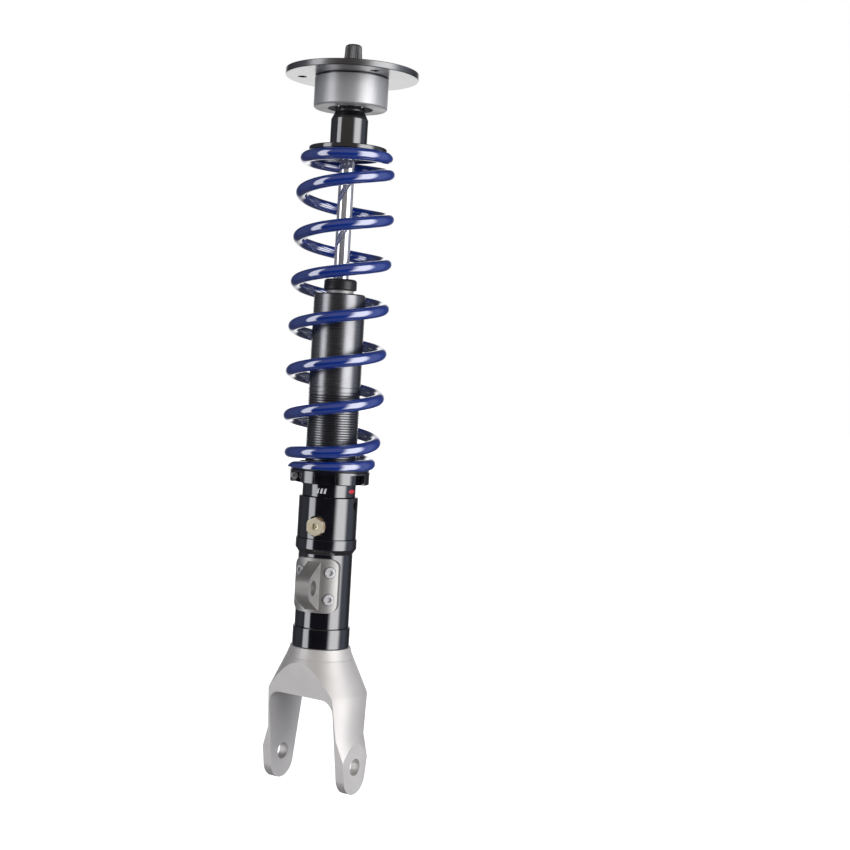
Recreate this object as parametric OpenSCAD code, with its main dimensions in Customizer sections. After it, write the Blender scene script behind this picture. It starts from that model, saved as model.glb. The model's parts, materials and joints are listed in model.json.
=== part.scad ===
// Coil-over strut assembly with a fork lower mount, in millimetres.
// Origin: centre of the clevis bolt. +X runs along the clevis bolt, +Z up the strut.

/* [Fork] */
// Diameter of the clevis bolt holes
clevis_bore_d = 13.5; // [12:0.5:14.5]
// Gap between the fork legs
fork_gap = 62; // [58:1:64]
// Width of a fork leg, front to back
leg_w = 32.4; // [30:0.2:34]
// Distance between the outer flats of the fork legs
leg_flats = 79.6; // [78:0.2:82]
// Height of the fork crotch above the bolt centre
crotch_z = 53.6; // [50:0.2:56]
// Height of the top face of the fork
fork_top_z = 91.5; // [91:0.5:93]

/* [Lower mount tube] */
// Outer diameter of the lower tube
lower_tube_d = 44; // [43:0.5:46]
// Outer diameter of the locking ring above the fork
lower_ring_d = 46.4; // [46:0.2:48]
// Top of the locking ring
lower_ring_top_z = 107.6; // [104:0.2:110]
// Top of the shoulder band of the lower tube
band_top_z = 178.7; // [178:0.1:179]

/* [Link bracket] */
// Direction of the bracket lug about the strut axis, in degrees
bracket_az = -75; // [-90:5:-60]
// Distance from the strut axis to the lug hole
lug_reach = 38.6; // [37:0.2:40]
// Height of the lug hole
lug_z = 142.4; // [140:0.4:144]
// Diameter of the lug hole
lug_bore_d = 12; // [10:0.5:12]
// Thickness of the lug
lug_t = 11; // [9:0.5:12]

/* [Damper] */
// Outer diameter of the damper tube
tube_d = 41.6; // [41.2:0.1:41.8]
// Bore of the damper tube
bore_d = 36; // [35:0.5:37]
// Top of the damper tube
tube_top_z = 374.5; // [374:0.5:376]
// Pitch of the body thread
thread_pitch = 2; // [1.5:0.5:2]
// Diameter of the piston rod
rod_d = 12.5; // [12.4:0.1:12.6]
// Outer diameter of the base cap
base_cap_d = 48; // [47.6:0.2:49]

/* [Coil spring] */
// Wire diameter
wire_d = 9.6; // [9:0.1:10]
// Mean coil diameter in the middle of the spring
coil_d = 71.6; // [70:0.2:74]
// Pitch of the active coils
coil_pitch = 35.8; // [35:0.1:36]
// Turns of wire from tip to tip
coil_turns = 8.43; // [8.40:0.01:8.45]

/* [Spring collar] */
// Outer diameter of the collar
collar_d = 64.4; // [62:0.2:66]
// Number of spanner notches
collar_notches = 7; // [6:1:8]

/* [Top mount] */
// Diameter of the top plate
plate_d = 107.2; // [104:0.4:110]
// Thickness of the top plate
plate_t = 5.2; // [5:0.1:5.4]
// Circle of the three fixing holes
plate_pcd = 80; // [78:1:84]
// Diameter of the three fixing holes
plate_hole_d = 7; // [6.6:0.1:9]
// Outer diameter of the bearing housing
housing_d = 59.2; // [58:0.2:60]
// Diameter of the bearing ball
ball_d = 28; // [27.8:0.1:28.2]

/* [Hidden] */

$fn = 96;
slack = 0.02;      // assembly gap between threaded or pressed faces
run = 0.05;        // radial clearance of running fits

rod_r = rod_d / 2;
bore_r = bore_d / 2;
tube_r = tube_d / 2;
spigot_r = 17;     // threaded joints inside the lower tube

// Heights of the lower stack
base_floor_z = 182;
tube_bottom_z = base_floor_z;
base_cap_top_z = 212.4;
marking_top_z = 222.4;
valve_z = 189.3;
set_screw_z = 206;
band_h = 7.9;
valve_az = bracket_az;

// Spring seats
collar_bottom_z = 222.9;
collar_top_z = 233.4;
slip_top_z = 234.8;
spring_top_z = 487.4;
seat_bottom_z = 487.7;
seat_top_z = 491.6;

// Seal head
guide_bottom_z = 348;
gland_bottom_z = 377.7;
gland_top_z = 386.5;

// Piston assembly, from the lower rod end upwards
rod_end_z = 289;
piston_z = 299.5;
piston_h = 18;
float_z = 199;
float_h = 12;

// Rod sleeve and top mount
sleeve_bottom_z = 493;
ball_z = 535;
ball_half = 10;
housing_bottom_z = 522.8;
housing_top_z = 546.7;
plate_bottom_z = 547.4;
rod_top_z = 560;
knob_bottom_z = 562;
knob_top_z = 574;

// Puts its children at an angle about the strut axis, their own +X pointing outwards.
module around(az, z = 0) {
    translate([0, 0, z]) rotate([0, 0, az]) children();
}

// Ring with a round hole.
module ring(r_out, r_in, z0, z1) {
    difference() {
        translate([0, 0, z0]) cylinder(r = r_out, h = z1 - z0);
        translate([0, 0, z0 - 1]) cylinder(r = r_in, h = z1 - z0 + 2);
    }
}

// Ring whose outer edges are broken by a chamfer.
module edged_ring(r_out, r_in, z0, z1, c) {
    rotate_extrude() polygon([[r_in, z0], [r_out - c, z0], [r_out, z0 + c],
        [r_out, z1 - c], [r_out - c, z1], [r_in, z1]]);
}

// O-ring lying in its groove.
module o_ring(r_mean, section_r, z) {
    translate([0, 0, z]) rotate_extrude() translate([r_mean, 0]) circle(r = section_r);
}

// Socket head screw along +X: the head starts at x = 0 and the shank runs inwards.
module socket_screw(head_r, head_h, shank_r, shank_l, hex_r) {
    rotate([0, 90, 0]) difference() {
        union() {
            cylinder(r = head_r, h = head_h);
            translate([0, 0, -shank_l]) cylinder(r = shank_r, h = shank_l + 0.1);
        }
        translate([0, 0, head_h * 0.4]) cylinder(r = hex_r, h = head_h, $fn = 6);
    }
}

// ---------------------------------------------------------------- fork

cone_top_r = 24.4;
groove_z = 83.2;
groove_r = 27.2;
hip_z = 57;
hip_r = 39.9;
waist_z = 23;
waist_r = 38.8;
boss_z = -5;
boss_r = 46;
leg_end = 21.8;      // from the bolt axis to the tip of a leg
crotch_r = 10;
lean = 0.1535;        // outward run of the front and back planes per unit of rise
leg_draft = 1.2;   // how much a leg thins from crotch to tip

module fork_blank() {
    rotate_extrude() polygon([[0, -leg_end - 1], [boss_r, -leg_end - 1], [boss_r, boss_z],
        [waist_r, waist_z], [hip_r, hip_z - 2], [hip_r - 0.6, hip_z],
        [groove_r + 0.2, groove_z - 0.3], [groove_r - 0.3, groove_z],
        [groove_r - 0.1, groove_z + 0.3], [cone_top_r + 0.4, fork_top_z - 2],
        [cone_top_r, fork_top_z], [0, fork_top_z]]);
}

// Side view of a leg: round tip, and flat planes that spread upwards from it.
module fork_side() {
    a = atan(lean);
    tip_r = (leg_w / 2 - lean * leg_end) / (1 / cos(a) - lean);
    top = fork_top_z + 1;
    top_w = tip_r / cos(a) + lean * (top + leg_end - tip_r);
    translate([0, tip_r - leg_end]) circle(r = tip_r);
    polygon([[-tip_r * cos(a), tip_r - leg_end - tip_r * sin(a)],
        [tip_r * cos(a), tip_r - leg_end - tip_r * sin(a)], [top_w, top], [-top_w, top]]);
}

// Front view of the gap between the legs.
module gap_front() {
    g = fork_gap / 2;
    difference() {
        polygon([[-g - leg_draft, -leg_end - 2], [g + leg_draft, -leg_end - 2],
            [g, crotch_z], [-g, crotch_z]]);
        for (s = [-1, 1]) difference() {
            translate([s * (g - crotch_r / 2 + 2), crotch_z - crotch_r / 2 + 2])
                square(crotch_r + 4, center = true);
            translate([s * (g - crotch_r), crotch_z - crotch_r]) circle(r = crotch_r);
        }
    }
}

module fork() {
    color("silver") difference() {
        union() {
            intersection() {
                fork_blank();
                rotate([90, 0, 90]) linear_extrude(height = 2 * boss_r + 4, center = true)
                    fork_side();
            }
            translate([0, 0, fork_top_z - 1]) cylinder(r = spigot_r, h = 37);
        }
        rotate([90, 0, 0]) linear_extrude(height = 2 * boss_r + 4, center = true) gap_front();
        for (s = [-1, 1]) translate([s * (leg_flats / 2 + 5), 0, 0])
            cube([10, leg_w + 20, 70], center = true);
        rotate([0, 90, 0]) cylinder(d = clevis_bore_d, h = 2 * boss_r + 4, center = true);
        translate([0, 0, fork_top_z + 6]) cylinder(r = spigot_r - 5, h = 40);
    }
}

// ---------------------------------------------------------------- lower stack

module lower_ring() {
    color([0.06, 0.06, 0.07])
        edged_ring(lower_ring_d / 2, spigot_r + slack, fork_top_z, lower_ring_top_z, 0.5);
}

bracket_wrap_r = 25.2;
screw_az = 30;
screw_rise = 10.75;

module bracket_screw_places() {
    for (s = [-1, 1], t = [-1, 1]) around(bracket_az + s * screw_az, lug_z + 0.2 + t * screw_rise)
        children();
}

module lower_tube() {
    r = lower_tube_d / 2;
    band_r = base_cap_d / 2 + 0.8;
    color([0.05, 0.05, 0.06]) difference() {
        rotate_extrude() polygon([[spigot_r + slack, lower_ring_top_z], [r - 0.3, lower_ring_top_z],
            [r, lower_ring_top_z + 0.3], [r, 166.6], [band_r, band_top_z - band_h],
            [band_r, band_top_z - 0.3], [band_r - 0.3, band_top_z],
            [spigot_r + slack, band_top_z]]);
        bracket_screw_places() translate([spigot_r - 1, 0, 0]) rotate([0, 90, 0])
            cylinder(r = 2.5 + slack, h = 10);
    }
}

bracket_half_w = 18.1;
bracket_low = -21.3;
bracket_high = 21.5;
bracket_corner = 6.5;
nose_r = 11.4;

// Rounded outline of the saddle, seen along the lug.
module saddle_outline() {
    c = bracket_corner;
    translate([-bracket_half_w + c, lug_z + bracket_low])
        square([2 * (bracket_half_w - c), bracket_high - bracket_low]);
    translate([-bracket_half_w, lug_z + bracket_low + c])
        square([2 * bracket_half_w, bracket_high - bracket_low - 2 * c]);
    for (x = [-1, 1], z = [bracket_low + c, bracket_high - c])
        translate([x * (bracket_half_w - c), lug_z + z]) circle(r = c);
}

// Side view of the lug: a nose circle with tangent flanks that spread to the saddle.
module lug_outline() {
    root = 23;
    above = bracket_high - 1.5;
    below = -bracket_low - 1;
    function tangent(h) = atan2(h, root - lug_reach) - acos(nose_r / norm([lug_reach - root, h]));
    span = tangent(above) + tangent(below);
    polygon(concat([[root - 4, lug_z + above], [root, lug_z + above]],
        [for (i = [0:16]) let (t = tangent(above) - i * span / 16)
            [lug_reach + nose_r * cos(t), lug_z + nose_r * sin(t)]],
        [[root, lug_z - below], [root - 4, lug_z - below]]));
}

module link_bracket() {
    color([0.42, 0.42, 0.43]) difference() {
        union() {
            intersection() {
                translate([0, 0, lug_z + bracket_low - 1])
                    cylinder(r = bracket_wrap_r, h = bracket_high - bracket_low + 2);
                around(bracket_az) rotate([90, 0, 90]) linear_extrude(height = 40)
                    saddle_outline();
            }
            around(bracket_az) rotate([90, 0, 0]) linear_extrude(height = lug_t, center = true)
                lug_outline();
        }
        translate([0, 0, lug_z - 40]) cylinder(r = lower_tube_d / 2 + slack, h = 80);
        around(bracket_az, lug_z) translate([lug_reach, 0, 0]) rotate([90, 0, 0])
            cylinder(d = lug_bore_d, h = lug_t + 2, center = true);
        bracket_screw_places() rotate([0, 90, 0]) {
            translate([0, 0, 15]) cylinder(r = 2.5 + slack, h = 10);
            translate([0, 0, 23.3]) cylinder(r = 4.7, h = 20);
        }
    }
}

module bracket_screws() {
    color([0.7, 0.7, 0.72]) bracket_screw_places() translate([23.3, 0, 0])
        socket_screw(4.25, 2.6, 2.5, 5.8, 2.3);
}

valve_hex_af = 13.5;
valve_face_r = 23.2;
grub_az = 9.5;
grub_r = 3.5;

module lower_sleeve() {
    r = base_cap_d / 2;
    color([0.05, 0.05, 0.06]) difference() {
        rotate_extrude() polygon([[0, 152], [spigot_r, 152], [spigot_r, band_top_z],
            [r - 0.4, band_top_z], [r, band_top_z + 0.4], [r, base_cap_top_z - 0.6],
            [r - 0.6, base_cap_top_z], [tube_r + slack, base_cap_top_z],
            [tube_r + slack, base_floor_z], [0, base_floor_z]]);
        around(valve_az, valve_z) rotate([0, 90, 0]) {
            translate([0, 0, 18]) cylinder(r = 4 + slack, h = 10);
            translate([0, 0, valve_face_r]) cylinder(r = 8.6, h = 10);
        }
        around(grub_az, set_screw_z) rotate([0, 90, 0]) translate([0, 0, 19]) cylinder(r = grub_r, h = 10);
        translate([0, 0, 151]) cylinder(r = 11, h = 24);
    }
}

module sleeve_set_screw() {
    color([0.15, 0.15, 0.16]) around(grub_az, set_screw_z) translate([tube_r + 0.05, 0, 0])
        rotate([0, 90, 0]) difference() {
            cylinder(r = grub_r - slack, h = 1.9);
            translate([0, 0, 0.8]) cylinder(r = 1.8, h = 3, $fn = 6);
        }
}

module valve_body() {
    color([0.83, 0.72, 0.45]) around(valve_az, valve_z) rotate([0, 90, 0]) difference() {
        union() {
            intersection() {
                translate([0, 0, valve_face_r + 0.8])
                    cylinder(r = valve_hex_af / 2 / cos(30), h = 4.6, $fn = 6);
                translate([0, 0, valve_face_r]) rotate_extrude() polygon([[0, 0], [9, 0],
                    [9, 4.2], [6.9, 5.4], [0, 5.4]]);
            }
            translate([0, 0, bore_r + 0.3]) cylinder(r = 4, h = valve_face_r - bore_r + 1);
        }
        translate([0, 0, valve_face_r + 3.6]) cylinder(r = 2.7, h = 4);
        translate([0, 0, bore_r - 2]) cylinder(r = 1, h = 20);
    }
}

module valve_washer() {
    color([0.72, 0.45, 0.3]) around(valve_az, valve_z) rotate([0, 90, 0])
        ring(7.2, 4 + slack, valve_face_r, valve_face_r + 0.8);
}

module valve_pin() {
    color([0.8, 0.7, 0.4]) around(valve_az, valve_z) rotate([0, 90, 0]) {
        translate([0, 0, 20]) cylinder(r = 1 - run, h = 7);
        translate([0, 0, 26.9]) sphere(r = 0.9);
    }
}

module base_o_ring() {
    color([0.1, 0.1, 0.1]) o_ring(bore_r - 0.95, 0.9, base_floor_z + 0.95);
}

module marking_ring() {
    color([0.09, 0.09, 0.1]) edged_ring(tube_r + 0.8, tube_r + slack, base_cap_top_z, marking_top_z, 0.2);
}

// ---------------------------------------------------------------- damper tube

thread_top_z = 294;
thread_depth = 0.55;

// Outline of the tube wall: one V groove per thread pitch below thread_top_z.
module tube_outline() {
    turns = floor((thread_top_z - marking_top_z) / thread_pitch);
    polygon(concat(
        [[bore_r, tube_bottom_z], [tube_r, tube_bottom_z]],
        [for (i = [0:turns - 1]) let (z = thread_top_z - (turns - i) * thread_pitch)
            each [[tube_r, z + thread_pitch * 0.2], [tube_r - thread_depth, z + thread_pitch * 0.5],
                [tube_r, z + thread_pitch * 0.8]]],
        [[tube_r, 295.3], [tube_r - 0.5, 295.5], [tube_r - 0.5, 295.9], [tube_r, 296.1],
            [tube_r, 299.2], [tube_r - 0.5, 299.4], [tube_r - 0.5, 299.8], [tube_r, 300],
            [tube_r, tube_top_z - 1], [tube_r - 1, tube_top_z], [bore_r, tube_top_z]]));
}

module damper_tube() {
    color([0.28, 0.29, 0.3]) difference() {
        rotate_extrude() tube_outline();
        around(valve_az, valve_z) rotate([0, 90, 0]) cylinder(r = 4 + slack, h = 30);
        translate([0, 0, tube_top_z - 4.4]) cylinder(r = bore_r + 1, h = 1.6);
    }
}

// ---------------------------------------------------------------- inside the damper

module floating_piston() {
    color([0.6, 0.62, 0.65]) difference() {
        translate([0, 0, float_z]) cylinder(r = bore_r - run, h = float_h);
        translate([0, 0, float_z - 1]) cylinder(r = bore_r - 5, h = 5);
        ring(bore_r + 1, bore_r - 2, float_z + 2, float_z + 4);
        ring(bore_r + 1, bore_r - 1.5, float_z + 6, float_z + 10);
    }
}

module floating_piston_seal() {
    color([0.1, 0.1, 0.1]) o_ring(bore_r - 1.05, 0.95, float_z + 3);
}

module floating_piston_band() {
    color([0.75, 0.7, 0.55]) ring(bore_r - 0.03, bore_r - 1.48, float_z + 6.02, float_z + 9.98);
}

module piston() {
    color([0.6, 0.62, 0.65]) difference() {
        ring(bore_r - 0.3, 4 + slack, piston_z, piston_z + piston_h);
        ring(bore_r + 1, bore_r - 1.8, piston_z + 5, piston_z + 13);
        for (a = [0:60:359]) around(a) translate([10.5, 0, piston_z - 1])
            cylinder(r = 1.8, h = piston_h + 2);
    }
}

module piston_band() {
    color([0.75, 0.7, 0.55]) ring(bore_r - 0.03, bore_r - 1.78, piston_z + 5.02, piston_z + 12.98);
}

// Stack of shims between two radii, largest against the piston.
module shims(z, step, r_first, r_last) {
    n = 4;
    t = 0.5;
    for (i = [0:n - 1])
        ring(r_first + (r_last - r_first) * i / (n - 1), 4 + slack,
            z + min(step * i * t, step * (i + 1) * t), z + max(step * i * t, step * (i + 1) * t));
}

module compression_shims() {
    color([0.7, 0.7, 0.75]) shims(piston_z + piston_h, 1, 13.5, 8);
}

module rebound_shims() {
    color([0.7, 0.7, 0.75]) shims(piston_z, -1, 13.5, 8);
}

module piston_nut() {
    color([0.5, 0.5, 0.52]) difference() {
        translate([0, 0, piston_z - 8.5]) cylinder(r = 7.5, h = 6.5, $fn = 6);
        translate([0, 0, piston_z - 9]) cylinder(r = 4 + slack, h = 8);
    }
}

module rebound_stop() {
    color([0.12, 0.12, 0.12]) edged_ring(11, rod_r + slack, piston_z + piston_h + 3,
        piston_z + piston_h + 9, 1);
}

sleeve_web_z = 511;
rod_top_r = 6;
needle_r = 2.5;

module piston_rod() {
    color([0.85, 0.85, 0.87]) rotate_extrude() polygon([[needle_r, rod_end_z], [3.6, rod_end_z],
        [4, rod_end_z + 0.4], [4, piston_z + piston_h + 2], [rod_r, piston_z + piston_h + 2],
        [rod_r, sleeve_web_z], [rod_top_r, sleeve_web_z], [rod_top_r, rod_top_z - 1],
        [rod_top_r - 1, rod_top_z], [needle_r, rod_top_z]]);
}

module adjuster_rod() {
    color([0.75, 0.75, 0.77]) rotate_extrude() polygon([[0, rod_end_z + 1], [needle_r - run - 1.5,
        rod_end_z + 1], [needle_r - run, rod_end_z + 8], [needle_r - run, knob_bottom_z + 6],
        [0, knob_bottom_z + 6]]);
}

// ---------------------------------------------------------------- seal head

guide_top_z = tube_top_z - 5;

module rod_guide() {
    color([0.65, 0.66, 0.68]) difference() {
        rotate_extrude() polygon([[rod_r + 1.5 + slack, guide_bottom_z], [bore_r - slack, guide_bottom_z],
            [bore_r - slack, guide_top_z], [11, guide_top_z], [11, gland_bottom_z - 0.6],
            [10, gland_bottom_z], [10, gland_bottom_z + 2], [rod_r + 1.5 + slack, gland_bottom_z + 2]]);
        ring(bore_r + 1, bore_r - 2, guide_bottom_z + 6, guide_bottom_z + 8);
        translate([0, 0, guide_top_z - 9]) cylinder(r = 10 + slack, h = 6);
    }
}

module guide_bush() {
    color([0.6, 0.45, 0.25]) ring(rod_r + 1.5, rod_r + run, guide_bottom_z, guide_bottom_z + 12);
}

module rod_seal() {
    color([0.1, 0.1, 0.1]) ring(10, rod_r + run, guide_top_z - 8.98, guide_top_z - 3.02);
}

module guide_o_ring() {
    color([0.1, 0.1, 0.1]) o_ring(bore_r - 1.05, 0.95, guide_bottom_z + 7);
}

module guide_circlip() {
    color([0.5, 0.5, 0.52]) difference() {
        ring(bore_r + 1 - slack, bore_r - 2.5, guide_top_z + 0.62, guide_top_z + 2.18);
        around(180) translate([bore_r, 0, guide_top_z]) cube([8, 8, 6], center = true);
    }
}

gland_r = 13.2;

module gland_nut() {
    color([0.08, 0.08, 0.09]) difference() {
        rotate_extrude() polygon([[10 + slack, gland_bottom_z], [gland_r - 0.5, gland_bottom_z],
            [gland_r, gland_bottom_z + 0.5], [gland_r, gland_top_z - 2.6],
            for (a = [15:15:75]) [gland_r - 2.4 + 2.4 * cos(a), gland_top_z - 2.4 + 2.4 * sin(a)],
            [gland_r - 2.6, gland_top_z], [rod_r + 0.6, gland_top_z],
            [rod_r + 0.6, gland_top_z - 1.5], [10 + slack, gland_top_z - 1.5]]);
    }
}

module wiper_seal() {
    color([0.1, 0.1, 0.1]) ring(10, rod_r + run, gland_bottom_z + 2.02, gland_top_z - 1.52);
}

// ---------------------------------------------------------------- spring and seats

collar_az = -36;   // middle of one land
notch_r = 27;
notch_roof_z = 231;
land_a = 21.4;     // angle that a land covers
clamp_slot = 1.6;  // saw cut through one land, which the clamp screw pulls shut
clamp_reach = 29.2;
clamp_seat = 4.6;  // from the saw cut to the seat of the clamp screw's head

// Wedge that spans an angle about +X, deep enough to cut a notch.
module notch(a) {
    reach = collar_d;
    linear_extrude(height = notch_roof_z - collar_bottom_z + 1) difference() {
        polygon([[0, 0], for (i = [-1, 0, 1]) [reach * cos(i * a / 2), reach * sin(i * a / 2)]]);
        circle(r = notch_r);
    }
}

module spring_collar() {
    step = 360 / collar_notches;
    color([0.06, 0.06, 0.07]) difference() {
        edged_ring(collar_d / 2, tube_r + run, collar_bottom_z, collar_top_z, 0.6);
        for (i = [0:collar_notches - 1]) around(collar_az + (i + 0.5) * step, collar_bottom_z - 1)
            notch(step - land_a);
        around(collar_az - 2 * step) translate([0, -clamp_slot / 2, collar_bottom_z - 1])
            cube([collar_d, clamp_slot, 20]);
        clamp_screw_place() {
            translate([0, 0, -12]) cylinder(r = 1.5 + slack, h = 20);
            translate([0, 0, clamp_seat]) cylinder(r = 2.9, h = 12);
        }
    }
}

// Turns +Z to the clamp screw's axis, which crosses one land of the collar.
module clamp_screw_place() {
    around(collar_az - 2 * 360 / collar_notches, collar_bottom_z + 5)
        translate([clamp_reach, 0, 0]) rotate([-90, 0, 0]) children();
}

module collar_set_screw() {
    color([0.75, 0.75, 0.77]) clamp_screw_place() translate([0, 0, clamp_seat + slack])
        rotate([0, -90, 0]) socket_screw(2.75, 3, 1.5, clamp_seat + 5, 1.3);
}

module slip_ring() {
    color([0.1, 0.1, 0.11]) rotate_extrude() polygon([[tube_r + 0.3, collar_top_z],
        [collar_d / 2 - 0.8, collar_top_z], [collar_d / 2 - 0.8, slip_top_z], [25.4, slip_top_z],
        [25.4, slip_top_z + 4], [24.9, slip_top_z + 4.5], [tube_r + 0.3, slip_top_z + 4.5]]);
}

end_mean_r = 31;        // coil radius at the lower tip
top_mean_r = 33.4;      // coil radius at the upper tip
lower_tip_az = -135;
closed_pitch = 12;      // pitch of the closed lower coil
top_closed_pitch = 3.6; // pitch of the closed upper coil
spring_sides = 10;
rings_per_turn = 22;

// Area under a step that rises from 0 to 1 between a and b, up to t.
function ramp(t, a, b) = t < a ? 0 : t > b ? t - (a + b) / 2 : (t - a) * (t - a) / (2 * (b - a));
function ease(t) = let (u = min(max(t, 0), 1)) u * u * (3 - 2 * u);
function wire_z(t) = slip_top_z - 0.6 + closed_pitch * t
    + (coil_pitch - closed_pitch) * ramp(t, 1.15, 1.35)
    - (coil_pitch - top_closed_pitch) * ramp(t, 7.6, 7.85);
function wire_r(t) = coil_d / 2 - (coil_d / 2 - end_mean_r) * (1 - ease(t / 2))
    - (coil_d / 2 - top_mean_r) * ease((t - 6.6) / 1.5);

module wire_sweep() {
    n = ceil(coil_turns * rings_per_turn);
    points = [for (i = [0:n]) let (t = i * coil_turns / n, a = lower_tip_az + 360 * t)
        for (j = [0:spring_sides - 1]) let (b = 360 * j / spring_sides,
            r = wire_r(t) + wire_d / 2 * cos(b))
            [r * cos(a), r * sin(a), wire_z(t) + wire_d / 2 * sin(b)]];
    first = [for (j = [0:spring_sides - 1]) j];
    last = [for (j = [spring_sides - 1:-1:0]) n * spring_sides + j];
    sides = [for (i = [0:n - 1], j = [0:spring_sides - 1]) let (k = (j + 1) % spring_sides)
        each [[i * spring_sides + j, (i + 1) * spring_sides + j, (i + 1) * spring_sides + k],
            [i * spring_sides + j, (i + 1) * spring_sides + k, i * spring_sides + k]]];
    polyhedron(points = points, faces = concat([first], [last], sides), convexity = 20);
}

module coil_spring() {
    color([0.06, 0.1, 0.42]) intersection() {
        wire_sweep();
        translate([-60, -60, slip_top_z]) cube([120, 120, spring_top_z - slip_top_z]);
    }
}

seat_r = 31.5;
stop_r = 11;

module upper_spring_seat() {
    color([0.05, 0.05, 0.06]) rotate_extrude() polygon([[stop_r + 1.5, seat_bottom_z - 5],
        [25.5, seat_bottom_z - 5], [26.5, seat_bottom_z - 4], [26.5, seat_bottom_z],
        [seat_r - 0.5, seat_bottom_z], [seat_r, seat_bottom_z + 0.5], [seat_r, seat_top_z - 0.6],
        [seat_r - 0.6, seat_top_z], [stop_r + 1.5, seat_top_z]]);
}

module seat_thrust_washer() {
    color([0.85, 0.83, 0.78]) ring(14.8, stop_r + 1.5, seat_top_z, sleeve_bottom_z - 0.05);
}

module bump_stop() {
    color([0.2, 0.2, 0.18]) rotate_extrude() polygon([[rod_r + 0.3, 483], [8.5, 483], [9.6, 484.5],
        [9.6, 489], [8.6, 490.5], [9.6, 492], [stop_r, 494], [stop_r, sleeve_web_z - 0.1],
        [rod_r + 0.3, sleeve_web_z - 0.1]]);
}

module rod_sleeve() {
    color([0.05, 0.05, 0.06]) rotate_extrude() polygon([[stop_r + 0.1, sleeve_bottom_z],
        [14.7, sleeve_bottom_z], [15, sleeve_bottom_z + 0.3], [15, 514], [12, 520], [12, 523.5],
        [9, 523.5], [9, ball_z - ball_half], [rod_top_r + slack, ball_z - ball_half],
        [rod_top_r + slack, sleeve_web_z], [stop_r + 0.1, sleeve_web_z]]);
}

// ---------------------------------------------------------------- top mount

ball_r = ball_d / 2;
liner_r = ball_r + 1;
race_half = 7;
race_r = 20;

module pillow_ball() {
    color([0.8, 0.8, 0.82]) translate([0, 0, ball_z]) difference() {
        sphere(r = ball_r);
        for (s = [-1, 1]) translate([0, 0, s * (ball_half + 10)]) cube([40, 40, 20], center = true);
        cylinder(r = rod_top_r + slack, h = 40, center = true);
    }
}

module pillow_liner() {
    color([0.7, 0.65, 0.5]) translate([0, 0, ball_z]) difference() {
        sphere(r = liner_r);
        sphere(r = ball_r + run);
        for (s = [-1, 1]) translate([0, 0, s * (race_half - 0.3 + 10)])
            cube([40, 40, 20], center = true);
    }
}

module pillow_race() {
    color([0.72, 0.72, 0.74]) translate([0, 0, ball_z]) difference() {
        cylinder(r = race_r - slack, h = 2 * race_half, center = true);
        sphere(r = liner_r + run);
    }
}

module race_circlip() {
    z = ball_z + race_half;
    color([0.4, 0.4, 0.42]) difference() {
        ring(race_r + 1.2, race_r - 2.2, z, z + 1.6);
        around(45) translate([race_r, 0, z]) cube([10, 8, 6], center = true);
    }
}

module rod_washer() {
    color([0.7, 0.7, 0.72]) ring(10.5, rod_top_r + slack, ball_z + ball_half, ball_z + ball_half + 1.5);
}

module rod_top_nut() {
    color([0.6, 0.6, 0.62]) difference() {
        translate([0, 0, ball_z + ball_half + 1.5]) cylinder(r = 19 / 2 / cos(30), h = 10, $fn = 6);
        translate([0, 0, ball_z]) cylinder(r = rod_top_r + slack, h = 40);
    }
}

plate_screw_circle_r = 24.6;

module plate_screw_places() {
    for (a = [45:90:359]) around(a) translate([plate_screw_circle_r, 0, 0]) children();
}

module mount_housing() {
    r = housing_d / 2;
    lip_z = ball_z - race_half;
    clip_z = ball_z + race_half;
    color([0.72, 0.72, 0.73]) difference() {
        rotate_extrude() polygon([[18, housing_bottom_z], [r - 1, housing_bottom_z],
            [r, housing_bottom_z + 1], [r, housing_top_z - 0.4], [r - 0.4, housing_top_z],
            [race_r, housing_top_z], [race_r, clip_z + 1.7], [race_r + 1.3, clip_z + 1.7],
            [race_r + 1.3, clip_z - 0.05], [race_r, clip_z - 0.05], [race_r, lip_z], [18, lip_z]]);
        plate_screw_places() translate([0, 0, housing_top_z - 12]) cylinder(r = 2.5 + slack, h = 13);
    }
}

module top_plate() {
    r = plate_d / 2;
    top_z = plate_bottom_z + plate_t;
    color([0.2, 0.2, 0.22]) difference() {
        rotate_extrude() polygon([[17.5, housing_top_z], [housing_d / 2 - 1, housing_top_z],
            [housing_d / 2 - 1, plate_bottom_z], [r - 0.5, plate_bottom_z],
            [r, plate_bottom_z + 0.5], [r, top_z - 0.5], [r - 0.5, top_z], [17.5, top_z]]);
        for (a = [-149:120:180]) around(a) translate([plate_pcd / 2, 0, plate_bottom_z - 1])
            cylinder(d = plate_hole_d, h = plate_t + 2);
        plate_screw_places() {
            translate([0, 0, housing_top_z - 1]) cylinder(r = 2.5 + slack, h = 10);
            translate([0, 0, top_z - 2.9]) cylinder(r1 = 2.5, r2 = 5.4, h = 2.91);
        }
    }
}

module plate_screws() {
    top_z = plate_bottom_z + plate_t;
    color([0.3, 0.3, 0.32]) plate_screw_places() difference() {
        rotate_extrude() polygon([[0, top_z - 14], [2.5, top_z - 14], [2.5, top_z - 2.85],
            [5.2, top_z - 0.15], [0, top_z - 0.15]]);
        translate([0, 0, top_z - 2]) cylinder(r = 1.6, h = 3, $fn = 6);
    }
}

knob_r = 7.3;

module adjuster_knob() {
    color([0.25, 0.25, 0.26]) difference() {
        rotate_extrude() polygon([[0, knob_bottom_z], [knob_r, knob_bottom_z],
            [knob_r - 0.1, knob_bottom_z + 4], [knob_r - 0.5, knob_top_z - 3],
            for (a = [15:15:75]) [knob_r - 2.9 + 2.3 * cos(a), knob_top_z - 2.6 + 2.6 * sin(a)],
            [knob_r - 2.9, knob_top_z], [0, knob_top_z]]);
        translate([0, 0, knob_bottom_z - 1]) cylinder(r = needle_r + slack, h = 7.1);
    }
}

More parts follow.
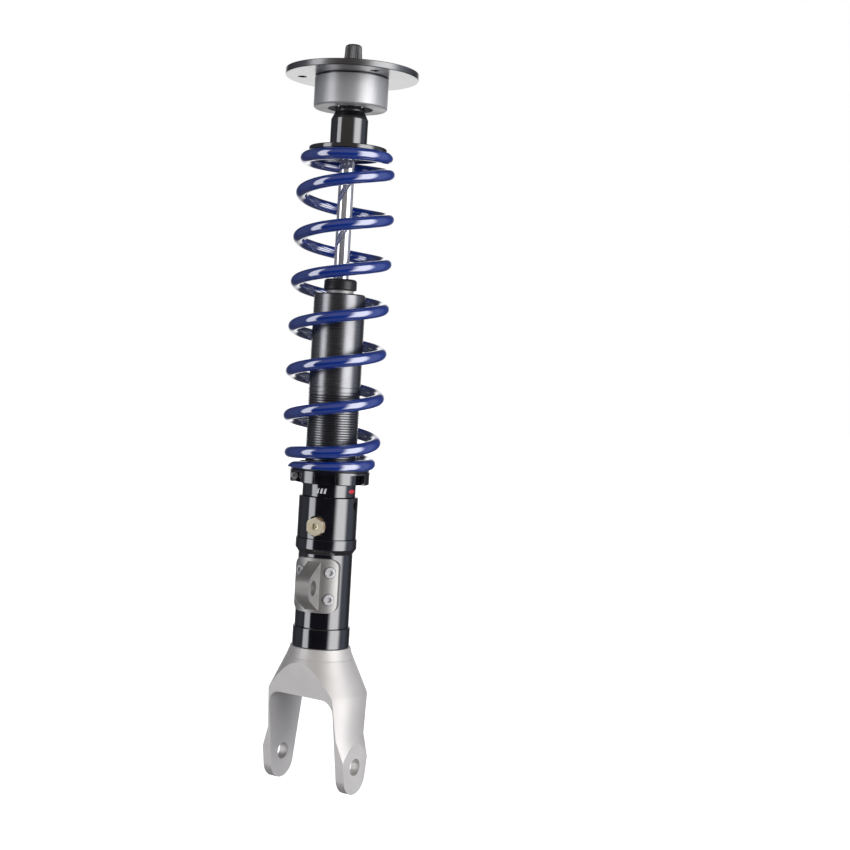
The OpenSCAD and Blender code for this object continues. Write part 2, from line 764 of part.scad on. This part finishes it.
fork();
lower_ring();
lower_tube();
link_bracket();
bracket_screws();
lower_sleeve();
sleeve_set_screw();
valve_body();
valve_washer();
valve_pin();
base_o_ring();
marking_ring();
damper_tube();
floating_piston();
floating_piston_seal();
floating_piston_band();
piston();
piston_band();
compression_shims();
rebound_shims();
piston_nut();
rebound_stop();
piston_rod();
adjuster_rod();
rod_guide();
guide_bush();
rod_seal();
guide_o_ring();
guide_circlip();
gland_nut();
wiper_seal();
spring_collar();
collar_set_screw();
slip_ring();
coil_spring();
upper_spring_seat();
seat_thrust_washer();
bump_stop();
rod_sleeve();
pillow_ball();
pillow_liner();
pillow_race();
race_circlip();
rod_washer();
rod_top_nut();
mount_housing();
top_plate();
plate_screws();
adjuster_knob();
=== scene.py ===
"""Looks of a coil-over strut assembly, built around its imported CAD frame. Metres, +Z up the strut."""
import json
import math

import bmesh
import bpy
from mathutils import Matrix, Vector


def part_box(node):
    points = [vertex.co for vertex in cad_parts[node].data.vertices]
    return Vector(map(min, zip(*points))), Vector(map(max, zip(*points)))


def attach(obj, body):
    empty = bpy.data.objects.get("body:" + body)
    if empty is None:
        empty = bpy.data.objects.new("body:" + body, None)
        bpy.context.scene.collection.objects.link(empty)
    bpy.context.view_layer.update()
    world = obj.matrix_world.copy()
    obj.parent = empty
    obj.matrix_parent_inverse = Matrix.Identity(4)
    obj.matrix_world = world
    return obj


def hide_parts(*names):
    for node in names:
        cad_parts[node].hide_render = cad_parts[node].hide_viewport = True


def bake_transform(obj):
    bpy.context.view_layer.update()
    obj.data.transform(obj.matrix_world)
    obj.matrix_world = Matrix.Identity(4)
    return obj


MM = 0.001
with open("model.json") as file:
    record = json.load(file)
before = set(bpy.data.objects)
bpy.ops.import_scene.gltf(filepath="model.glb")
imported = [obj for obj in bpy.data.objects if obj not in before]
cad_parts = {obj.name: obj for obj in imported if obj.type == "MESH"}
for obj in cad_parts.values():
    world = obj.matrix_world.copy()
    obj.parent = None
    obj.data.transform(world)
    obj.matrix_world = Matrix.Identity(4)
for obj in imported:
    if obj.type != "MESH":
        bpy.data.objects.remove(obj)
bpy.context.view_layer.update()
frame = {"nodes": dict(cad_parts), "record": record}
scene = bpy.context.scene


# ---------------------------------------------------------------- camera

DISTANCE = 1.2              # from the camera to the strut axis
EYE_HEIGHT = 0.3122         # height of the camera
CAMERA_AZIMUTH = math.radians(35)
PITCH = math.radians(1.05)  # the camera looks down by this much
ROLL = math.radians(3.2)    # the strut leans by this much in the picture
LENS = 63.2
SHIFT = (0.1069, -0.0305)   # the strut stands left of the middle of the picture


def make_camera():
    """Camera at the height of the spring, rolled a little."""
    towards = Vector((math.sin(CAMERA_AZIMUTH), -math.cos(CAMERA_AZIMUTH), 0))
    right = Vector((math.cos(CAMERA_AZIMUTH), math.sin(CAMERA_AZIMUTH), 0))
    up = Vector((0, 0, 1))
    forward = -towards * math.cos(PITCH) - up * math.sin(PITCH)
    side = right * math.cos(ROLL) + right.cross(forward) * math.sin(ROLL)
    data = bpy.data.cameras.new("camera")
    data.lens = LENS
    data.shift_x, data.shift_y = SHIFT
    camera = bpy.data.objects.new("camera", data)
    scene.collection.objects.link(camera)
    camera.matrix_world = Matrix.Translation(towards * DISTANCE + up * EYE_HEIGHT) @ Matrix(
        (side, side.cross(forward), -forward)).transposed().to_4x4()
    scene.camera = camera
    return towards, right


towards_camera, camera_right = make_camera()


# ---------------------------------------------------------------- materials

class Nodes:
    """Short way to add and join shader nodes."""

    def __init__(self, name):
        self.material = bpy.data.materials.new(name)
        self.material.use_nodes = True
        self.tree = self.material.node_tree
        self.shader = self.tree.nodes["Principled BSDF"]

    def add(self, kind, **values):
        node = self.tree.nodes.new(kind)
        for key, value in values.items():
            setattr(node, key, value)
        return node

    def link(self, source, target):
        self.tree.links.new(source, target)

    def set(self, **values):
        for key, value in values.items():
            self.shader.inputs[key.replace("_", " ")].default_value = value

    def position(self, scale=(1, 1, 1)):
        """Object coordinates, in metres, stretched by scale."""
        where = self.add("ShaderNodeTexCoord")
        mapping = self.add("ShaderNodeMapping")
        mapping.inputs["Scale"].default_value = scale
        self.link(where.outputs["Object"], mapping.inputs["Vector"])
        return mapping.outputs["Vector"]

    def noise(self, scale, detail=4, stretch=(1, 1, 1), roughness=0.5):
        node = self.add("ShaderNodeTexNoise")
        node.inputs["Scale"].default_value = scale
        node.inputs["Detail"].default_value = detail
        node.inputs["Roughness"].default_value = roughness
        self.link(self.position(stretch), node.inputs["Vector"])
        return node.outputs["Fac"]

    def spread(self, factor, low, high):
        """Turns the middle of a noise pattern into values from low to high."""
        node = self.add("ShaderNodeMapRange")
        for key, value in (("From Min", 0.3), ("From Max", 0.7), ("To Min", low), ("To Max", high)):
            node.inputs[key].default_value = value
        self.link(factor, node.inputs["Value"])
        return node.outputs["Result"]

    def tint(self, factor, dark, light):
        """Colour that runs from dark to light with a pattern."""
        node = self.add("ShaderNodeMix", data_type="RGBA")
        self.link(factor, node.inputs["Factor"])
        node.inputs["A"].default_value = (*dark, 1)
        node.inputs["B"].default_value = (*light, 1)
        self.link(node.outputs["Result"], self.shader.inputs["Base Color"])

    def roughness(self, factor, low, high):
        """Roughness that runs from low to high with a pattern."""
        self.link(self.spread(factor, low, high), self.shader.inputs["Roughness"])

    def bump(self, factor, distance):
        """Adds relief of a real depth, in metres."""
        node = self.add("ShaderNodeBump")
        node.inputs["Distance"].default_value = distance
        node.inputs["Strength"].default_value = 1.0
        self.link(factor, node.inputs["Height"])
        old = self.shader.inputs["Normal"].links
        if old:
            self.link(old[0].from_socket, node.inputs["Normal"])
        self.link(node.outputs["Normal"], self.shader.inputs["Normal"])


def turned_metal(name, dark, light, rough, groove, metallic=1.0):
    """Metal turned on a lathe: fine rings around the strut axis, and a soft cloudy finish."""
    n = Nodes(name)
    n.set(Metallic=metallic)
    rings = n.noise(1.0, 3, (40, 40, 9000), 0.6)
    n.tint(n.spread(n.noise(55, 5), 0, 1), dark, light)
    n.roughness(rings, rough - 0.05, rough + 0.07)
    n.bump(rings, groove)
    n.bump(n.noise(900, 3), groove)
    return n.material


def milled_metal(name, dark, light, rough, grain=2.5e-6, metallic=1.0):
    """Bead blasted or milled metal with an even fine grain."""
    n = Nodes(name)
    n.set(Metallic=metallic)
    grain_pattern = n.noise(2600, 2, roughness=0.7)
    n.tint(n.spread(n.noise(40, 5), 0, 1), dark, light)
    n.roughness(grain_pattern, rough - 0.05, rough + 0.06)
    n.bump(grain_pattern, grain)
    return n.material


def polished_black(name, dark, light):
    """Polished black anodising: almost a mirror, with faint waviness and dust-fine roughness changes."""
    n = Nodes(name)
    n.set(IOR=2.3)
    n.tint(n.spread(n.noise(30, 4), 0, 1), dark, light)
    n.roughness(n.noise(120, 5), 0.07, 0.13)
    n.bump(n.noise(150, 2), 1.5e-6)
    return n.material


def powder_coat(name, dark, light):
    """Thick glossy powder coat with its gentle waviness and fine specks."""
    n = Nodes(name)
    n.set(Coat_Weight=1.0, Coat_Roughness=0.03, Coat_IOR=2.5, IOR=1.5)
    n.tint(n.spread(n.noise(1500, 2), 0, 1), dark, light)
    n.roughness(n.noise(160, 4), 0.1, 0.2)
    n.bump(n.noise(150, 2), 1.2e-6)
    return n.material


def chrome(name):
    """Hard chrome with polishing marks around the rod."""
    n = Nodes(name)
    n.set(Metallic=0.75)
    marks = n.noise(1.0, 2, (60, 60, 5000))
    n.tint(n.spread(marks, 0, 1), (0.78, 0.78, 0.8), (0.88, 0.88, 0.9))
    n.roughness(marks, 0.03, 0.08)
    n.bump(marks, 2e-7)
    return n.material


def coated_metal(name, dark, light):
    """Hard-anodised plate: satin metal under a clear glossy skin."""
    n = Nodes(name)
    n.set(Metallic=1.0, Coat_Weight=1.0, Coat_Roughness=0.18, Coat_IOR=1.6)
    n.tint(n.spread(n.noise(45, 5), 0, 1), dark, light)
    n.roughness(n.noise(1800, 3), 0.28, 0.4)
    n.bump(n.noise(2200, 2), 1e-6)
    return n.material


def moulded(name, dark, light, rough=0.55, grain=1.5e-5):
    """Rubber or plastic with a moulded grain."""
    n = Nodes(name)
    pattern = n.noise(1400, 3, roughness=0.65)
    n.tint(n.spread(n.noise(90, 4), 0, 1), dark, light)
    n.roughness(pattern, rough - 0.1, rough + 0.1)
    n.bump(pattern, grain)
    return n.material


def grey(value, warm=0.0):
    """Neutral grey, or one with a little more red and less blue."""
    return (value * (1 + warm), value, value * (1 - warm))


FINISHES = {
    "satin_aluminium": milled_metal("satin_aluminium", (0.6, 0.58, 0.555), (0.67, 0.65, 0.62), 0.46,
                                    metallic=0.4),
    "housing_aluminium": turned_metal("housing_aluminium", grey(0.5), grey(0.57), 0.42, 5e-7, metallic=0.6),
    "gloss_black": polished_black("gloss_black", grey(0.003), (0.006, 0.006, 0.009)),
    "gunmetal": turned_metal("gunmetal", grey(0.2), (0.25, 0.25, 0.26), 0.27, 1.5e-7),
    "grey_anodised": milled_metal("grey_anodised", (0.36, 0.35, 0.33), (0.43, 0.42, 0.4), 0.42,
                                  metallic=0.65),
    "dark_anodised": coated_metal("dark_anodised", grey(0.14), grey(0.19)),
    "spring_blue": powder_coat("spring_blue", (0.002, 0.026, 0.22), (0.004, 0.038, 0.3)),
    "chrome": chrome("chrome"),
    "steel": milled_metal("steel", grey(0.55), grey(0.65), 0.45, 1e-6, metallic=0.5),
    "dark_steel": milled_metal("dark_steel", grey(0.06), grey(0.1), 0.35, 1e-6),
    "brass": milled_metal("brass", (0.72, 0.64, 0.46), (0.8, 0.72, 0.54), 0.45, 1e-6),
    "copper": milled_metal("copper", (0.6, 0.3, 0.17), (0.7, 0.38, 0.24), 0.3, 1e-6),
    "bronze": milled_metal("bronze", (0.42, 0.28, 0.13), (0.5, 0.35, 0.18), 0.35, 1e-6),
    "seal_rubber": moulded("seal_rubber", grey(0.012), grey(0.025)),
    "nylon": moulded("nylon", grey(0.014), grey(0.024), 0.35, 5e-6),
    "urethane": moulded("urethane", grey(0.05, 0.05), grey(0.07, 0.05), 0.6),
    "ptfe": moulded("ptfe", grey(0.5, 0.1), grey(0.6, 0.1), 0.5, 5e-6),
    "knob_grey": milled_metal("knob_grey", grey(0.1), grey(0.15), 0.45, 3e-6),
    "paint_white": moulded("paint_white", grey(0.75), grey(0.85), 0.4, 5e-6),
    "paint_red": moulded("paint_red", (0.55, 0.02, 0.04), (0.7, 0.05, 0.07), 0.4, 5e-6),
}


# ---------------------------------------------------------------- mesh helpers

EDGE_ANGLE = math.radians(16)            # surfaces that meet at more than this have an edge


def smooth(mesh):
    """Round surfaces shade smoothly, and edges sharper than EDGE_ANGLE stay crisp."""
    mesh.polygons.foreach_set("use_smooth", [True] * len(mesh.polygons))
    mesh.set_sharp_from_angle(angle=EDGE_ANGLE)


def new_piece(name, mesh, body, finish, *stands_for):
    """Object for a finished mesh, with its finish, that rides on a body unless body is None."""
    mesh.materials.clear()
    mesh.materials.append(FINISHES[finish])
    smooth(mesh)
    piece = bpy.data.objects.new(name, mesh)
    scene.collection.objects.link(piece)
    if body:
        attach(piece, body)
    if stands_for:
        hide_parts(*stands_for)
    return piece


def mesh_from(name, points, faces):
    """Mesh whose faces all point outwards."""
    mesh = bpy.data.meshes.new(name)
    mesh.from_pydata(points, [], faces)
    mesh.update()
    work = bmesh.new()
    work.from_mesh(mesh)
    bmesh.ops.recalc_face_normals(work, faces=work.faces)
    work.to_mesh(mesh)
    work.free()
    return mesh


def polar(radius, angle, z):
    return (radius * math.cos(angle), radius * math.sin(angle), z)


def ease(value):
    """Smooth step from 0 to 1."""
    value = min(max(value, 0.0), 1.0)
    return value * value * (3 - 2 * value)


# ---------------------------------------------------------------- CAD nodes that stay

record = frame["record"]
slot_of = {part["node"]: part["material_slot"] for part in record["subparts"]}
# Width of the broken edge on machined pieces, in millimetres.
EDGES = {
    "fork": 0.6, "link_bracket": 0.5, "lower_ring": 0.3, "lower_tube": 0.25, "lower_sleeve": 0.3,
    "spring_collar": 0.45, "top_plate": 0.3, "mount_housing": 0.3, "bracket_screws": 0.2,
    "collar_set_screw": 0.2, "rod_top_nut": 0.3, "valve_body": 0.12, "gland_nut": 0.2,
    "upper_spring_seat": 0.2, "rod_sleeve": 0.3, "slip_ring": 0.2, "plate_screws": 0.15,
    "piston_nut": 0.3, "piston": 0.3, "marking_ring": 0.1,
}


def finish_cad_nodes():
    """Material, broken edges and smooth shading for each CAD node."""
    for name, node in frame["nodes"].items():
        node.data.materials.clear()
        node.data.materials.append(FINISHES[slot_of[name]])
        smooth(node.data)
        if name in EDGES:
            weld = node.modifiers.new("weld", "WELD")
            weld.merge_threshold = 0.002 * MM
            bevel = node.modifiers.new("edges", "BEVEL")
            bevel.limit_method = "ANGLE"
            bevel.angle_limit = EDGE_ANGLE
            bevel.width = EDGES[name] * MM
            bevel.segments = 2
        flat = node.modifiers.new("flat_faces", "WEIGHTED_NORMAL")
        flat.keep_sharp = True


finish_cad_nodes()


# ---------------------------------------------------------------- coil spring

WIRE_R = 4.8
COIL_R = 35.8
LOWER_R, UPPER_R = 31.0, 33.4           # coil radius at the two tips
COIL_TURNS = 8.43
PITCH, LOWER_PITCH, UPPER_PITCH = 35.8, 12.0, 3.6
LOWER_TIP = math.radians(-135)
SPRING_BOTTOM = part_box("coil_spring")[0].z / MM
SPRING_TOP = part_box("coil_spring")[1].z / MM


def ramp(t, start, end):
    """Area up to t under a step that rises from 0 to 1 between start and end."""
    if t < start:
        return 0.0
    if t > end:
        return t - (start + end) / 2
    return (t - start) ** 2 / (2 * (end - start))


def wire_height(t):
    """Height of the wire's centre after t turns: closed coils at both ends, open ones between."""
    return (SPRING_BOTTOM - 0.6 + LOWER_PITCH * t + (PITCH - LOWER_PITCH) * ramp(t, 1.15, 1.35)
            - (PITCH - UPPER_PITCH) * ramp(t, 7.6, 7.85))


def wire_radius(t):
    """Coil radius after t turns: it draws in towards both tips."""
    return (COIL_R - (COIL_R - LOWER_R) * (1 - ease(t / 2))
            - (COIL_R - UPPER_R) * ease((t - 6.6) / 1.5))


def make_spring():
    """Round wire swept along the coil, with chamfered tips and flat ground ends."""
    rings, sides = int(COIL_TURNS * 72), 28
    tip = 0.006                          # share of the wire over which a tip is rounded off
    points, faces = [], []
    for i in range(rings + 1):
        u = i / rings
        t = u * COIL_TURNS
        angle = LOWER_TIP + 2 * math.pi * t
        inset = min(u, 1 - u) / tip
        wire = WIRE_R * (1 if inset >= 1 else 0.86 + 0.14 * math.sin(inset * math.pi / 2))
        slope = (wire_height(t + 0.01) - wire_height(t - 0.01)) / 0.02 / (2 * math.pi * wire_radius(t))
        lean = math.atan(slope)
        for j in range(sides):
            b = 2 * math.pi * j / sides
            out, lift = wire * math.cos(b), wire * math.sin(b)
            base = Vector(polar(wire_radius(t) + out, angle, wire_height(t) + lift * math.cos(lean)))
            along = Vector((-math.sin(angle), math.cos(angle), 0))
            p = base - along * lift * math.sin(lean)
            p.z = min(max(p.z, SPRING_BOTTOM), SPRING_TOP)
            points.append(p * MM)
    for i in range(rings):
        for j in range(sides):
            k = (j + 1) % sides
            faces.append((i * sides + j, i * sides + k, (i + 1) * sides + k, (i + 1) * sides + j))
    faces.append(tuple(range(sides)))
    faces.append(tuple(rings * sides + j for j in reversed(range(sides))))
    spring = new_piece("coil_spring_wire", mesh_from("coil_spring_wire", points, faces), None,
                       "spring_blue", "coil_spring")
    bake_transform(spring)


make_spring()


# ---------------------------------------------------------------- adjuster knob

def make_knob():
    """Knurled click adjuster with a bevelled crown and a small socket in the top."""
    low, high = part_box("adjuster_knob")
    bottom, top = low.z / MM, high.z / MM
    radius = (high.x - low.x) / 2 / MM
    ribs, steps = 26, 8
    profile = [(3.4, bottom, 0), (radius - 0.7, bottom, 0), (radius - 0.15, bottom + 0.4, 1),
               (radius - 0.2, bottom + 3, 1), (radius - 0.45, bottom + 6, 1),
               (radius - 0.6, bottom + 9.2, 1), (radius - 0.75, top - 1.5, 0.5),
               (radius - 1.3, top - 0.6, 0), (radius - 2.3, top, 0), (2.2, top, 0),
               (2.0, top - 0.2, 0), (2.0, top - 2, 0), (0.01, top - 2, 0)]
    count = ribs * steps
    points, faces = [], []
    for r, z, knurl in profile:
        for k in range(count):
            valley = abs((k % steps) / steps - 0.5) * 2
            points.append(Vector(polar(r - 0.38 * knurl * valley ** 1.5, 2 * math.pi * k / count, z)) * MM)
    for row in range(len(profile) - 1):
        for k in range(count):
            a, b = row * count + k, row * count + (k + 1) % count
            faces.append((a, b, b + count, a + count))
    knob = new_piece("knurled_knob", mesh_from("knurled_knob", points, faces), "adjuster",
                     "knob_grey", "adjuster_knob")


make_knob()


# ---------------------------------------------------------------- paint marks on the marking ring

def paint_patch(name, finish, outlines, azimuth, middle_z):
    """Flat paint patches wrapped round the marking ring. Outlines are in mm: along the ring, up."""
    low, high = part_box("marking_ring")
    radius = (high.x - low.x) / 2 / MM + 0.02
    work = bmesh.new()
    for outline in outlines:
        work.faces.new([work.verts.new((x, z, 0)) for x, z in outline])
    bmesh.ops.triangulate(work, faces=work.faces)
    bmesh.ops.subdivide_edges(work, edges=work.edges, cuts=3, use_grid_fill=True)
    for vert in work.verts:
        angle = math.radians(azimuth) + vert.co.x / radius
        vert.co = Vector(polar(radius, angle, middle_z + vert.co.y)) * MM
    mesh = bpy.data.meshes.new(name)
    work.to_mesh(mesh)
    work.free()
    mark = new_piece(name, mesh, "damper_body", finish)
    shell = mark.modifiers.new("paint_thickness", "SOLIDIFY")
    shell.thickness = 0.03 * MM
    shell.offset = 0


WHITE_AZIMUTH, RED_AZIMUTH = -71, 3      # degrees from the clevis bolt's axis
BAR = [(-1.1, -2.1), (0.5, -2.1), (1.5, 2.1), (-0.1, 2.1)]
BAR_PITCH = 3.0
OVAL_HALF_LENGTH, OVAL_HALF_HEIGHT = 4.2, 1.7


def make_marks():
    """Three slanted white bars and a red oval, as plain paint marks."""
    low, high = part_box("marking_ring")
    middle = (low.z + high.z) / 2 / MM
    bars = [[(x - 0.2 + BAR_PITCH * k, z) for x, z in BAR] for k in (-1, 0, 1)]
    paint_patch("white_mark", "paint_white", bars, WHITE_AZIMUTH, middle)
    around = [math.pi * k / 8 for k in range(16)]
    oval = [(OVAL_HALF_LENGTH * math.cos(a), OVAL_HALF_HEIGHT * math.sin(a)) for a in around]
    paint_patch("red_mark", "paint_red", [oval], RED_AZIMUTH, middle)


make_marks()


# ---------------------------------------------------------------- light and surroundings

# Two dim glows and two tall softboxes round the strut. Each has its azimuth to the right of the
# camera, the half widths of its bright core and of its soft edge, all in degrees, and its radiance.
SOFTBOXES = (
    (-100, 5, 40, (0.14, 0.15, 0.18)),
    (90, 10, 45, (0.28, 0.3, 0.38)),
    (-64, 9, 16, (2.5, 2.52, 2.65)),
    (54, 12, 32, (3.4, 3.4, 3.5)),
)
BACKDROP = (1.3, 1.3, 1.3)
GROUND = (0.1, 0.1, 0.1)
SIDES = (0.07, 0.07, 0.08)
FRONT_BELOW, FRONT_ABOVE = (0.015, 0.015, 0.022), (0.2, 0.185, 0.17)


def make_world():
    """White backdrop behind the strut, softboxes and glows beside the camera, and dimness between."""
    world = bpy.data.worlds.new("studio")
    scene.world = world
    world.use_nodes = True
    tree = world.node_tree
    add, link = tree.nodes.new, tree.links.new
    where = add("ShaderNodeTexCoord")

    def along(direction):
        node = add("ShaderNodeVectorMath")
        node.operation = "DOT_PRODUCT"
        node.inputs[1].default_value = direction
        link(where.outputs["Generated"], node.inputs[0])
        return node.outputs["Value"]

    def math_node(operation, first, second):
        node = add("ShaderNodeMath")
        node.operation = operation
        for socket, value in zip(node.inputs, (first, second)):
            if isinstance(value, (int, float)):
                socket.default_value = value
            else:
                link(value, socket)
        return node.outputs["Value"]

    def fade(source, start, end, low, high):
        node = add("ShaderNodeMapRange")
        node.interpolation_type = "SMOOTHSTEP"
        for key, value in (("From Min", start), ("From Max", end), ("To Min", low), ("To Max", high)):
            node.inputs[key].default_value = value
        link(source, node.inputs["Value"])
        return node.outputs["Result"]

    def blend_colours(factor, first, second):
        node = add("ShaderNodeMix")
        node.data_type = "RGBA"
        link(factor, node.inputs["Factor"])
        for key, value in (("A", first), ("B", second)):
            if isinstance(value, tuple):
                node.inputs[key].default_value = (*value, 1)
            else:
                link(value, node.inputs[key])
        return node.outputs["Result"]

    facing, height = along(towards_camera), along((0, 0, 1))
    azimuth = math_node("ARCTAN2", along(camera_right), facing)     # to the right of the camera
    front = blend_colours(fade(height, 0.04, 0.16, 0, 1), FRONT_BELOW, FRONT_ABOVE)
    sides = blend_colours(fade(facing, 0.15, 0.6, 0, 1), SIDES, front)
    colour = blend_colours(fade(facing, -0.97, -0.85, 1, 0), sides, BACKDROP)
    colour = blend_colours(fade(height, -0.75, -0.45, 1, 0), colour, GROUND)
    for centre, core, edge, light in SOFTBOXES:
        off = math_node("ABSOLUTE", math_node("SUBTRACT", azimuth, math.radians(centre)), 0)
        across = fade(off, math.radians(core), math.radians(edge), 1, 0)
        upright = math_node("MULTIPLY", fade(height, -0.75, -0.5, 0, 1), fade(height, 0.6, 0.8, 1, 0))
        colour = blend_colours(math_node("MULTIPLY", across, upright), colour, light)
    sky = tree.nodes["Background"]
    link(colour, sky.inputs["Color"])
    white = add("ShaderNodeBackground")
    white.inputs["Color"].default_value = (1, 1, 1, 1)
    path = add("ShaderNodeLightPath")
    mix = add("ShaderNodeMixShader")
    link(path.outputs["Is Camera Ray"], mix.inputs["Fac"])
    link(sky.outputs["Background"], mix.inputs[1])
    link(white.outputs["Background"], mix.inputs[2])
    link(mix.outputs["Shader"], tree.nodes["World Output"].inputs["Surface"])


make_world()
scene.view_settings.view_transform = "Standard"

FLOOR_HEIGHT = -1.3                      # low enough to leave room for views from below
FLOOR_HALF = 60.0


def make_floor():
    """Plain white floor. Only the camera sees it, so the parts are lit by the studio alone."""
    n = Nodes("floor_white")
    n.set(Base_Color=(0.9, 0.9, 0.9, 1), Roughness=0.9, Emission_Color=(1, 1, 1, 1), Emission_Strength=1.0)
    corners = [(x * FLOOR_HALF, y * FLOOR_HALF, FLOOR_HEIGHT)
               for x, y in ((-1, -1), (1, -1), (1, 1), (-1, 1))]
    floor = bpy.data.objects.new("floor", mesh_from("floor", corners, [(0, 1, 2, 3)]))
    floor.data.materials.append(n.material)
    scene.collection.objects.link(floor)
    floor.visible_diffuse = floor.visible_glossy = floor.visible_shadow = False


make_floor()
